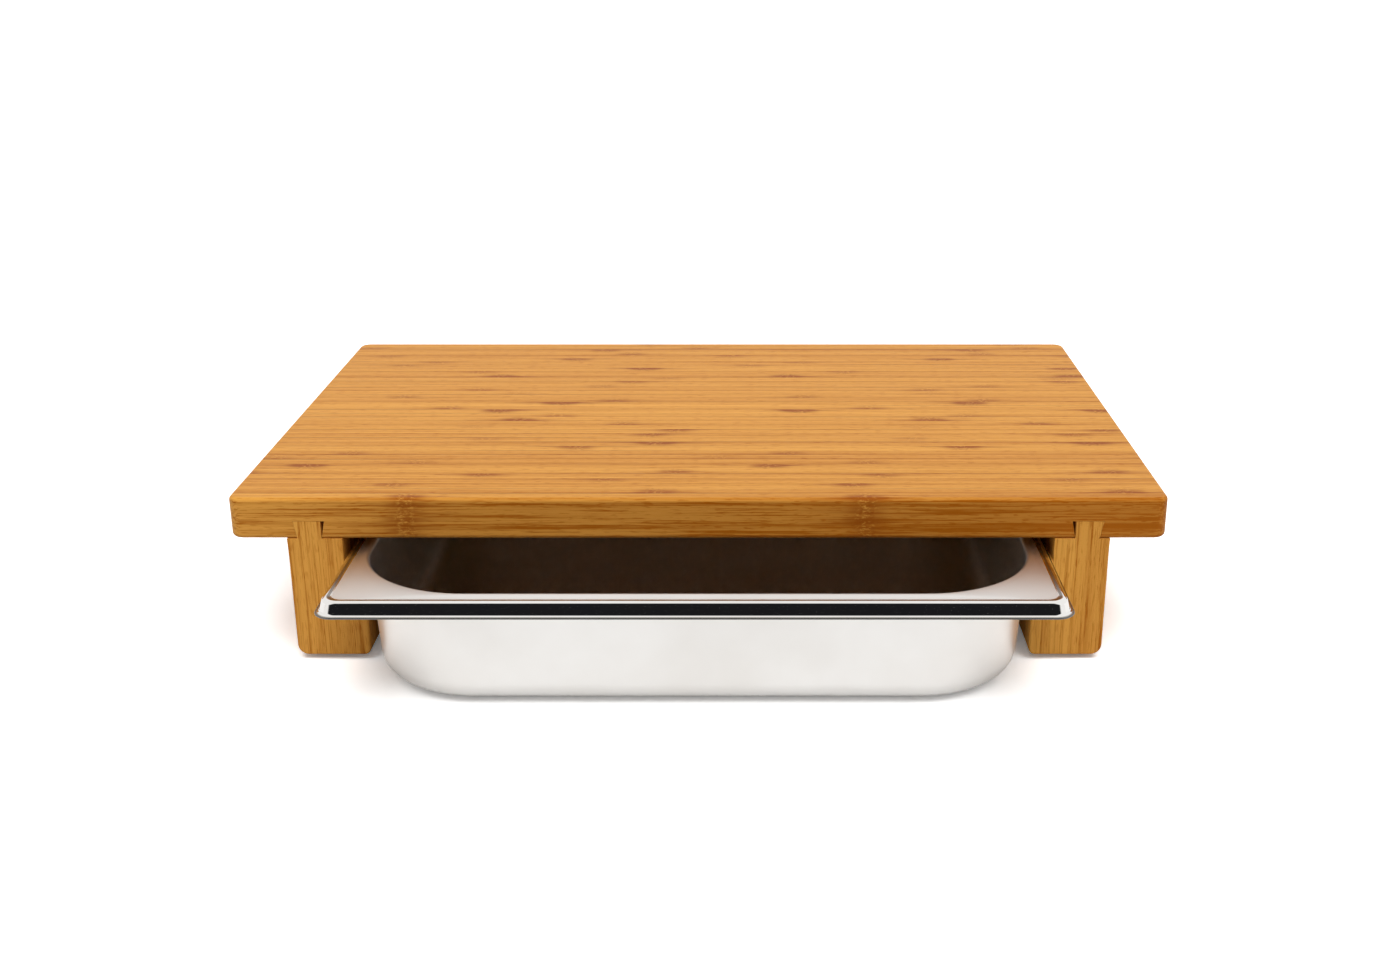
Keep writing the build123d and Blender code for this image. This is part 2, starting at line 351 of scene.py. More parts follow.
def strip_loops(index, board):
    """Upright sections of one strip, from its front face to its back face, as loops of points.

    At height z the board's outline is a rectangle whose corners have the radius R - e, drawn in by
    e = r - sqrt(r^2 - (r - h)^2), where h is the height over the underside or the depth under the top, up to r.
    A section at t behind the outline's front ends at x = W - e - c, where c = q - sqrt(q^2 - (q - t + e)^2)
    and q = R - e. Nearer to the front than r, the section is lower by r - sqrt(r^2 - (r - t)^2) above and below.
    """
    low, high = BOARD_MIN[index], BOARD_MAX[index]
    r, big = board.edge_radius, board.corner_radius
    fine = 1 - np.cos(np.linspace(0, np.pi / 2, 9))
    if index == 0:
        y = np.concatenate((low[1] + r * fine, np.linspace(low[1] + r, low[1] + big, 7)[1:], [high[1]]))
    elif index == STRIP_COUNT - 1:
        y = np.concatenate(([low[1]], np.linspace(high[1] - big, high[1] - r, 7), high[1] - r * fine[-2::-1]))
    else:
        y = np.array((low[1], high[1]))
    behind = np.minimum(y - BOARD_LOW[1], BOARD_HIGH[1] - y)[:, None]
    bottom, top = BOARD_LOW[2], BOARD_HIGH[2]
    rise = np.concatenate((r * fine, top - bottom - r * fine[::-1]))[None, :]
    lowest = r - np.sqrt(r**2 - (r - np.minimum(behind, r)) ** 2)
    z = np.clip(rise, lowest, top - bottom - lowest)
    h = np.minimum(np.minimum(z, top - bottom - z), r)
    e = r - np.sqrt(np.maximum(r**2 - (r - h) ** 2, 0))
    q = big - e
    c = q - np.sqrt(np.maximum(q**2 - np.maximum(q - behind + e, 0) ** 2, 0))
    x = BOARD_HIGH[0] - e - c
    rows, points = len(y), rise.shape[1]
    y_grid = np.broadcast_to(y[:, None], (rows, points))
    right = np.stack((x, y_grid, z + bottom), axis=-1)
    left = (right * (-1, 1, 1))[:, ::-1]
    # The dovetail grooves for the legs: narrow at the underside and wider at their tops.
    neck_out, neck_in, flare, deep = board.neck_outer, board.neck_inner, board.neck_flare, board.groove_depth
    groove = np.array(((neck_out, 0), (neck_out + flare, deep), (neck_in - flare, deep), (neck_in, 0)))
    groove_rise = np.where(groove[:, 1] > 0, groove[:, 1], lowest)
    lean = flare * lowest / deep * np.array((1, 0, 0, -1))
    groove_y = np.broadcast_to(y[:, None], groove_rise.shape)
    notch = np.stack((groove[:, 0] + lean, groove_y, bottom + groove_rise), axis=-1)
    return np.concatenate((right, left, notch * (-1, 1, 1), notch[:, ::-1]), axis=1)


def leg_loops(corners, rounding, low_y, high_y, edge_radius):
    """Upright sections of one leg layer, from its front face to its back face, as loops of points.

    corners is its outline in X and Z, and rounding says for each edge from a corner to the next whether it is
    drawn in near the ends, by r - sqrt(r^2 - (r - t)^2) at the distance t from the end. Each corner then lies
    where its two edges, so moved, cross. Sections repeat at each lath's joint.
    """
    fine = edge_radius * (1 - np.cos(np.linspace(0, np.pi / 2, 7)))
    laths = np.arange(1, STRIP_COUNT) * PITCH + low_y
    y = np.concatenate((low_y + fine, laths, high_y - fine[::-1]))
    t = np.minimum(np.minimum(y - low_y, high_y - y), edge_radius)
    inset = edge_radius - np.sqrt(edge_radius**2 - (edge_radius - t) ** 2)
    step = np.roll(corners, -1, axis=0) - corners
    step /= np.linalg.norm(step, axis=1, keepdims=True)
    inward = np.stack((-step[:, 1], step[:, 0]), axis=-1)
    offset = inset[:, None] * rounding[None, :]
    before, before_in, before_off = (np.roll(step, 1, axis=0), np.roll(inward, 1, axis=0), np.roll(offset, 1, axis=1))
    turn = before[:, 0] * step[:, 1] - before[:, 1] * step[:, 0]
    straight = np.abs(turn) < 1e-6
    # corner + before * s, where the next edge, moved inward, is met
    toward = (before_in * inward).sum(axis=1)
    s = (before_off * toward - offset) / np.where(straight, 1, -(before * inward).sum(axis=1))
    s = np.where(straight, 0, s)
    place = corners + before_off[..., None] * before_in + s[..., None] * before
    return np.stack((place[..., 0], np.broadcast_to(y[:, None], place.shape[:2]), place[..., 1]), axis=-1)


# ---------------------------------------------------------------- steel and rubber
def drawn_steel(tray):
    """Stainless steel sheet, deep drawn: the flange and the walls have a satin finish and the rim is polished.

    It gives the eye soft, greyed reflections on the flat parts, with very fine lines round the walls from the
    draw, and hard bright and dark bands on the rim. The lip's sheared edge is rougher, and it and a band beside
    the crease are painted darker, as painted dark reflection.
    """
    material, output = new_material("satin_and_polished_stainless_steel")
    tree = material.node_tree
    place = add_node(tree, "ShaderNodeTexCoord").outputs["Object"]
    polish = add_node(tree, "ShaderNodeAttribute", attribute_name="polish").outputs["Fac"]
    # Satin grit lines are about 0.05 mm; they are drawn 0.4 mm wide so that they show.
    lines = add_node(tree, "ShaderNodeMapping", {"Vector": place, "Scale": (30.0, 30.0, 2500.0)}).outputs[0]
    grit = add_node(tree, "ShaderNodeTexNoise", {"Vector": lines, "Scale": 1.0, "Detail": 2.0}).outputs["Fac"]
    cloud_sockets = {"Vector": place, "Scale": 22.0, "Detail": 3.0, "Roughness": 0.55}
    cloud = add_node(tree, "ShaderNodeTexNoise", cloud_sockets).outputs["Fac"]
    # Each noise is about 0.5 on average, so the two together add back what is taken off here.
    worn = tray.satin - 0.045
    for pattern in (grit, cloud):
        worn = add_node(tree, "ShaderNodeMath", {0: pattern, 1: 0.05, 2: worn}, operation="MULTIPLY_ADD").outputs[0]
    rough = add_node(tree, "ShaderNodeMix", {0: polish, 2: worn, 3: tray.polished}, data_type="FLOAT").outputs[0]
    soil = add_node(tree, "ShaderNodeMapRange", {"Value": cloud, "From Min": 0.3, "From Max": 0.7}).outputs[0]
    tint = add_node(tree, "ShaderNodeMix", {0: soil, 6: tray.steel, 7: tray.steel_shade}, data_type="RGBA").outputs[2]
    # The sheared edge of the lip is rougher; it and a band beside the crease are painted darker, as painted dark
    # reflection.
    dull_and_painted_shade = add_node(tree, "ShaderNodeAttribute", attribute_name="dull_and_painted_shade").outputs["Fac"]
    tint = add_node(tree, "ShaderNodeMix", {0: dull_and_painted_shade, 6: tint, 7: tray.sheared_edge_and_painted_shade}, data_type="RGBA").outputs[2]
    rough = add_node(tree, "ShaderNodeMath", {0: dull_and_painted_shade, 1: 0.2, 2: rough}, operation="MULTIPLY_ADD").outputs[0]
    height = add_node(tree, "ShaderNodeMix", {0: polish, 2: grit, 3: 0.5}, data_type="FLOAT").outputs[0]
    bump = add_node(tree, "ShaderNodeBump", {"Height": height, "Strength": 0.12, "Distance": 0.00003})
    shader = add_node(tree, "ShaderNodeBsdfPrincipled", {
        "Base Color": tint, "Metallic": 1.0, "Roughness": rough, "Normal": bump.outputs[0],
    })
    tree.links.new(shader.outputs[0], output.inputs["Surface"])
    return material


def tray_stations(tray):
    """The tray's wall from the middle of its inside, over the rim, to the middle of its outside, in millimetres.

    It gives seven arrays with a number for each level outline: inset from the lip's edge at the sides, the same at
    the front and back, corner radius in plan, depth under the top of the rim, share of polish, share of dullness
    and painted dark reflection, and spread, which runs from 0 in the middle of the bottom to 1 at its edge and
    scales the outline there. Inside the edge of the opening the corner radius is the opening's plus the rim's width
    less the inset, on the rim it is the lip's less half the inset, and it runs evenly from one to the other along the
    flange.
    """
    mm = SimpleNamespace(**{key: getattr(tray, key) / MM for key in TRAY_LENGTHS})
    lean = tray.draft
    wall_inset = mm.rim_width + mm.opening_edge * math.tan((math.pi / 2 - lean) / 2)
    full = mm.opening_radius + mm.rim_width

    def wall(thickness):
        """Rows of the bottom, its round, the wall and the round into the flange, on one side of the sheet."""
        depth = mm.depth - mm.sheet + thickness
        start = wall_inset - thickness / math.cos(lean)
        r = mm.bottom_radius - mm.sheet + thickness
        centre_inset = start + (depth - r) * math.tan(lean) + r / math.cos(lean)
        low = arc((centre_inset, depth - r), r, 90, 180 - math.degrees(lean), 16)
        high = arc((mm.rim_width, mm.opening_edge), mm.opening_edge - thickness, -math.degrees(lean), -90, 12)
        middle = low[-1] + np.linspace(0, 1, 12)[1:-1, None] * (high[0] - low[-1])
        line = np.concatenate((low, middle, high))
        floor = np.repeat(low[:1], 14, axis=0)
        spread = np.concatenate((np.linspace(0, 1, 15)[:-1], np.ones(len(line))))
        return np.concatenate((floor, line)), spread

    inside, inside_spread = wall(0.0)
    outside, outside_spread = wall(mm.sheet)
    step, shoulder, cove, sheet = mm.lip_reach, mm.shoulder, mm.cove, mm.sheet
    lip_top = mm.rim_height - sheet
    # The flange dips by a hair towards the crease, and rises again from there to the polished rim.
    turn = np.linspace(0, np.pi / 2, 10)[1:]
    dish = np.stack((np.linspace(mm.rim_width, mm.crease, 10)[1:], mm.dip * np.sin(turn) ** 2), axis=-1)
    rise = np.array(((0.35, 0.94), (0.85, 0.7), (1.35, 0.38), (1.8, 0.12), (2.1, 0.04)))
    rise = rise * (-1, mm.dip) + (mm.crease, 0)
    # The wall of the rim leans in, so that it mirrors the dark front of the room. run is half its lean across.
    lean_in = math.degrees(tray.rim_lean)
    run = (lip_top - (cove + shoulder) * (1 - math.sin(tray.rim_lean))) * math.tan(tray.rim_lean) / 2
    reach = math.cos(tray.rim_lean)
    half = sheet / 2
    under_flange = np.linspace(step + shoulder, mm.rim_width, 10)[1:-1]
    over = np.concatenate((
        dish,
        rise,
        arc((step + run + reach * shoulder, shoulder), shoulder, -90, -180 + lean_in, 16),
        arc((step - run - reach * cove, lip_top - cove), cove, lean_in, 90, 12),
        ((0.75, lip_top),),  # keeps the shading of the lip's edge off its flat top
        arc((half, lip_top + half), half, -90, -270, 9),
        arc((step - cove, lip_top - cove), cove + sheet, 90, 0, 8),
        arc((step + shoulder, shoulder), shoulder - sheet, -180, -90, 8),
        np.column_stack((under_flange, np.full(len(under_flange), sheet))),
    ))
    line = np.concatenate((inside, over, outside[::-1]))
    inset = line[:, 0]
    along = np.clip((inset - mm.crease) / (mm.rim_width - mm.crease), 0, 1)
    near = mm.lip_corner - 0.5 * np.minimum(inset, mm.crease)
    radius = near + along * (full - np.maximum(inset, mm.rim_width) - near)
    first, last = len(inside), len(inside) + len(over) - len(under_flange)
    order = np.arange(len(line))
    polished = (order >= first + len(dish)) & (order < last)
    # The last 1.3 mm of the lip is rougher, and it and a band 1.4 mm wide beyond the crease are painted darker, as
    # painted dark reflection.
    sheared_edge_and_painted_shade = np.clip(1.3 - inset, 0, 0.9)
    crease = 0.7 * ((np.abs(inset - mm.crease + 1.35) < 0.7) & (order < last) & (order >= first))
    spread = np.concatenate((inside_spread, np.ones(len(over)), outside_spread[::-1]))
    return inset - along * mm.widen, inset, radius, line[:, 1], polished.astype(float), sheared_edge_and_painted_shade + crease, spread


def pad_rubber(pads):
    """Synthetic rubber, moulded: matt near-black with a faint grain and a little pale dust."""
    material, output = new_material("moulded_rubber")
    tree = material.node_tree
    place = add_node(tree, "ShaderNodeTexCoord").outputs["Object"]
    # Mould grain about 0.4 mm across.
    grain = add_node(tree, "ShaderNodeTexNoise", {"Vector": place, "Scale": 2500.0, "Detail": 2.0}).outputs["Fac"]
    dust = add_node(tree, "ShaderNodeTexNoise", {"Vector": place, "Scale": 320.0, "Detail": 4.0}).outputs["Fac"]
    share = add_node(tree, "ShaderNodeMapRange", {"Value": dust, "From Min": 0.5, "From Max": 0.8}).outputs[0]
    tint = add_node(tree, "ShaderNodeMix", {0: share, 6: pads.rubber, 7: pads.dust}, data_type="RGBA").outputs[2]
    bump = add_node(tree, "ShaderNodeBump", {"Height": grain, "Strength": 0.3, "Distance": 0.00005})
    rough = add_node(tree, "ShaderNodeMath", {0: grain, 1: 0.2, 2: 0.62}, operation="MULTIPLY_ADD").outputs[0]
    shader = add_node(tree, "ShaderNodeBsdfPrincipled", {
        "Base Color": tint, "Roughness": rough, "IOR": 1.52, "Normal": bump.outputs[0],
    })
    tree.links.new(shader.outputs[0], output.inputs["Surface"])
    return material


# ---------------------------------------------------------------- settings
def length_property(name, description, millimetres, least=0.0):
    """A length that the user may change, given in millimetres and kept in metres."""
    return FloatProperty(
        name=name, description=description, default=millimetres * MM, min=least * MM, unit="LENGTH", precision=5
    )


def angle_property(name, description, degrees):
    """An angle that the user may change, given in degrees and kept in radians."""
    return FloatProperty(
        name=name, description=description, default=math.radians(degrees), min=0, max=math.radians(45), subtype="ANGLE"
    )


def share_property(name, description, share):
    """A number from 0 to 1 that the user may change."""
    return FloatProperty(name=name, description=description, default=share, min=0, max=1, subtype="FACTOR")


def level_property(name, description, level):
    """A strength or whiteness that the user may change."""
    return FloatProperty(name=name, description=description, default=level, min=0)


class BambooColours(bpy.types.PropertyGroup):
    light: colour_property("Light lath", "Colour of the soft tissue between the fibre bundles", "#E3A44A")
    dark: colour_property("Fibre bundles", "Colour of the fibre bundles and of the darkest laths", "#A25803")
    knuckle: colour_property("Knuckles", "Colour of the knuckles and their feathered ends", "#924B08")
    glue: colour_property("Glue lines", "Colour of the joints between the laths", "#5E3208")


class BoardSettings(bpy.types.PropertyGroup):
    edge_radius: length_property("Edge radius", "Round along the top and bottom edges of the board", 2.0)
    corner_radius: length_property("Corner radius", "Round of the four upright corners", 6.0)
    neck_outer: length_property("Groove, outer side", "From the middle of the board, at its underside", 184.0)
    neck_inner: length_property("Groove, inner side", "From the middle of the board, at its underside", 172.8)
    neck_flare: length_property("Groove flare", "How far each flank leans out at the top of the groove", 1.7)
    groove_depth: length_property("Groove depth", "From the underside of the board", 8.6)
    roughness: share_property("Roughness", "Roughness of the oiled bamboo", 0.46)
    base_tone: share_property("Base tone", "Share of the dark colour in plain tissue", 0.14)
    lath_contrast: share_property("Lath contrast", "How much the laths differ in tone", 0.22)
    dense: share_property("Dense side", "How dark the denser side of a lath is", 0.18)
    groups: share_property("Bundle groups", "How dark groups of fibre bundles are", 0.17)
    flecks: share_property("Flecks", "How dark the cut vessels are", 0.26)
    hairs: share_property("Fibre bundles", "How dark single fibre bundles are", 0.27)
    colours: PointerProperty(type=BambooColours)


class LegSettings(bpy.types.PropertyGroup):
    outer_layer: length_property("Outer layer", "Thickness of the outer layer of a leg", 15.6)
    ledge_x: length_property("Ledge", "From the middle of the board to the tray side of a leg", 154.7)
    slot_x: length_property("Slot wall", "From the middle of the board to the wall over the ledge", 163.5)
    ledge_z: length_property("Ledge height", "From the worktop to the top of the ledge", 49.9)
    foot_outer: length_property("Outer foot radius", "Round of the bottom edge on the outer side", 5.0)
    foot_inner: length_property("Inner foot radius", "Round of the bottom edge on the tray side", 3.0)
    edge_radius: length_property("Edge radius", "Round of the front and back edges, and of the ledge", 1.0)
    inner_flare: length_property("Inner flare", "How far the tongue's inner flank leans out at the top", 0.0)
    seed: IntProperty(name="Seed", description="Chooses the laths' knuckles and tones", default=7)


class TraySettings(bpy.types.PropertyGroup):
    draft: angle_property("Draft", "Lean of the walls", 4.0)
    rim_lean: angle_property("Rim lean", "Lean of the wall of the rim", 13.3)
    sheet: length_property("Sheet", "Thickness of the sheet", 0.8, least=0.1)
    depth: length_property("Depth", "Flange to underside", 55.0, least=1.0)
    rim_width: length_property("Rim width", "Edge of the lip to the opening", 12.0, least=1.0)
    rim_height: length_property("Rim height", "Flange to the underside of the lip", 6.75, least=1.0)
    lip_reach: length_property("Lip reach", "Wall of the rim to the edge of the lip", 2.5)
    shoulder: length_property("Shoulder radius", "Flange to the wall of the rim", 1.7)
    cove: length_property("Cove radius", "Wall of the rim to the lip", 1.2)
    crease: length_property("Crease", "Edge of the lip to where the flange turns up into the rim", 7.0)
    dip: length_property("Dip", "Depth of the crease under the top of the rim", 0.34)
    lip_corner: length_property("Lip corner", "Corner of the lip in plan", 8.5)
    opening_radius: length_property("Opening corner", "Corner of the opening in plan", 52.0)
    opening_edge: length_property("Opening edge", "Round from the flange into the wall", 1.8, least=0.9)
    widen: length_property("Widen", "How much wider the opening is at each side", 1.0)
    bottom_radius: length_property("Bottom radius", "Wall to bottom, outside", 11.0)
    satin: share_property("Satin roughness", "Roughness of flange and walls", 0.36)
    polished: share_property("Polished roughness", "Roughness of the rim", 0.07)
    steel: colour_property("Steel", "Colour of the clean steel", "#EFEDEA")
    steel_shade: colour_property("Steel, handled", "Colour where the satin is a little worn", "#E9E6E2")
    # Painted dark reflection on the lip's edge and on a band beside the crease.
    sheared_edge_and_painted_shade: colour_property("Sheared edge", "Colour of the lip's edge and of the crease", "#5A5854")


class PadSettings(bpy.types.PropertyGroup):
    rubber: colour_property("Rubber", "Colour of the rubber", "#2A2927")
    dust: colour_property("Dust", "Colour of the dust on the rubber", "#4A4743")
    ring_width: length_property("Ring width", "Width of the raised ring that the board stands on", 1.6)
    hollow: length_property("Hollow", "Depth of the hollow inside the ring", 0.5)
    edge_radius: length_property("Edge radius", "Round of the lower edge", 0.5)


class StageSettings(bpy.types.PropertyGroup):
    floor_seen: level_property("Floor, seen", "Whiteness of the floor to the camera", 1.4)
    floor_glow: level_property("Floor, glow", "Keeps deep shadow on the floor from going black", 0.11)
    floor_mirrored: level_property("Floor, mirrored", "Whiteness of the floor in reflections", 0.95)
    floor_bounce: level_property("Floor, bounce", "Whiteness of the floor as it throws light back", 0.55)
    sky: level_property("Surround light", "Strength of the even light from all sides", 0.34)
    key: level_property("Key light", "Strength of the soft light from above", 2.6)
    fill: level_property("Front light", "Strength of the soft light from the front", 0.2)
    focal_length: FloatProperty(
        name="Focal length", description="In millimetres, on a sensor 36 mm wide", default=41.69, min=1
    )
    tilt: angle_property("Tilt", "How far the camera looks down", 19.56)


GROUPS = {
    "board_settings": BoardSettings, "leg_settings": LegSettings, "tray_settings": TraySettings,
    "pad_settings": PadSettings, "stage_settings": StageSettings,
}


# ---------------------------------------------------------------- operators
class MakeBoard(bpy.types.Operator):
    """Make the board's bamboo strips, each a lath stood on edge"""
    bl_idname = "cutting_board.board"
    bl_label = "Bamboo Board"

    def execute(self, context):
        board = context.scene.board_settings
        material = bamboo("laminated_bamboo_board", "X", board.colours, board)
        values = lath_values(STRIP_COUNT, 3)
        for index, (at, gap, dark) in KNUCKLES.items():
            values[index] = at * MM, gap * MM, dark
        for index in range(STRIP_COUNT):
            node = f"board_strip_{index + 1:02d}"
            at, gap, dark = values[index]
            tone, slope = FRONT_TONE if index == 0 else (0.0015 * index, 0.0)
            marks = {
                "knuckle_at": at, "knuckle_gap": gap, "knuckle_dark": dark,
                "batch": 0.0, "tone": tone, "tone_slope": slope,
            }
            piece = finish_mesh(
                f"{node}_bamboo", strip_loops(index, board), "board", node, marks, keep_flats=True
            )
            piece.data.materials.append(material)
        return {"FINISHED"}


class MakeLegs(bpy.types.Operator):
    """Make the legs, two glued layers each, with a ledge for the tray and a dovetail tongue"""
    bl_idname = "cutting_board.legs"
    bl_label = "Bamboo Legs"

    def execute(self, context):
        board, legs = context.scene.board_settings, context.scene.leg_settings
        material = bamboo("laminated_bamboo_leg", "Z", board.colours, board)
        clearance = 0.1 * MM
        for number, side in enumerate(("left", "right")):
            sign = 1 if side == "right" else -1
            outer_low, outer_high = (np.array(c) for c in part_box(f"{side}_leg_outer_layer"))
            outer_x = max(abs(outer_low[0]), abs(outer_high[0]))
            glue_x = outer_x - legs.outer_layer
            bottom, under = outer_low[2], BOARD_LOW[2]
            top = under + board.groove_depth - clearance
            neck_out, neck_in = board.neck_outer - clearance, board.neck_inner + clearance
            flare, f, g, r = board.neck_flare, legs.foot_outer, legs.foot_inner, legs.edge_radius
            foot = arc((outer_x - f, bottom + f), f, -90, 0, 9)
            outer = np.concatenate((
                ((glue_x, bottom),), foot,
                ((outer_x, legs.ledge_z), (outer_x, under), (neck_out, under), (neck_out + flare, top), (glue_x, top)),
            ))
            inner_foot = arc((legs.ledge_x + g, bottom + g), g, 180, 270, 7)
            ledge = arc((legs.ledge_x + r, legs.ledge_z - r), r, 90, 180, 6)
            inner = np.concatenate((
                ((glue_x, top), (neck_in - legs.inner_flare, top), (neck_in, under)),
                ((legs.slot_x, under), (legs.slot_x, legs.ledge_z)),
                ledge, inner_foot, ((glue_x, bottom),),
            ))
            for layer, corners in (("outer", outer), ("inner", inner)):
                edge_middle = (corners + np.roll(corners, -1, axis=0)) / 2
                glued = np.abs(edge_middle[:, 0] - glue_x) < 1e-7
                # A little less than the edge radius, so that the ledge's own round never turns inside out.
                rounding = 0.95 * ((edge_middle[:, 1] < legs.ledge_z + 0.1 * r) & ~glued)
                node = f"{side}_leg_{layer}_layer"
                box_low, box_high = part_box(node)
                loops = leg_loops(corners, rounding, box_low[1], box_high[1], r)
                at, gap, dark = lath_values(1, legs.seed + 2 * number + (layer == "inner"))[0]
                # The inner layers' tones carry painted shade on the left leg and painted light on the right leg.
                marks = {
                    "knuckle_at": 0.12 + at * 0.1, "knuckle_gap": gap, "knuckle_dark": dark,
                    "batch": 1.0 + 2 * number + (layer == "inner"), "tone": LEG_TONES_AND_PAINTED_LIGHT[side, layer], "tone_slope": 0.0,
                }
                piece = finish_mesh(
                    f"{node}_bamboo", loops * (sign, 1, 1), "board", node, marks, keep_flats=True
                )
                piece.data.materials.append(material)
        return {"FINISHED"}


class MakeTray(bpy.types.Operator):
    """Make the drawn steel tray with its stepped rim"""
    bl_idname = "cutting_board.tray"
    bl_label = "Steel Tray"

    def execute(self, context):
        tray = context.scene.tray_settings
        half = (TRAY_HIGH - TRAY_LOW)[:2] / 2 / MM
        middle = (TRAY_HIGH + TRAY_LOW)[:2] / 2
        inset_x, inset_y, radius, depth, polish, dull_and_painted_shade, spread = tray_stations(tray)
        loops = []
        for x, y, r, d, s in zip(inset_x, inset_y, radius, depth, spread):
            outline = rounded_rectangle(half[0] - x, half[1] - y, r) * s * MM + middle
            loops.append(np.column_stack((outline, np.full(len(outline), TRAY_HIGH[2] - d * MM))))
        # Beside the polish, the tray carries its rougher lip edge and the painted dark reflection on it and beside the
        # crease.
        finish = {"polish": polish, "dull_and_painted_shade": dull_and_painted_shade}
        piece = finish_mesh("tray_steel", np.array(loops), "tray", "tray", finish, smooth_under=50)
        piece.data.materials.append(drawn_steel(tray))
        return {"FINISHED"}


class MakePads(bpy.types.Operator):
    """Make the four anti-slip pads under the legs"""
    bl_idname = "cutting_board.pads"
    bl_label = "Rubber Pads"

    def execute(self, context):
        pads = context.scene.pad_settings
        material = pad_rubber(pads)
        turn = np.linspace(0, 2 * np.pi, 49)[:-1]
        for end in ("front", "back"):
            for side in ("left", "right"):
                node = f"foot_pad_{end}_{side}"
                low, high = (np.array(c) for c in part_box(node))
                radius, middle = (high[0] - low[0]) / 2, (low + high) / 2
                ring, e = radius - pads.ring_width, pads.edge_radius
                lower = arc((radius - e, low[2] + e), e, 0, -90, 7)
                profile = np.concatenate((
                    ((0.0, high[2]), (radius * 0.98, high[2]), (radius, high[2] - 0.02 * radius)), lower,
                    ((ring, low[2]), (ring - 0.4 * pads.hollow, low[2] + pads.hollow), (0.0, low[2] + pads.hollow)),
                ))
                loops = np.stack((
                    middle[0] + profile[:, :1] * np.cos(turn), middle[1] + profile[:, :1] * np.sin(turn),
                    np.broadcast_to(profile[:, 1:], (len(profile), len(turn))),
                ), axis=-1)
                piece = finish_mesh(f"{node}_rubber", loops, "board", node, keep_flats=True)
                piece.data.materials.append(material)
        return {"FINISHED"}


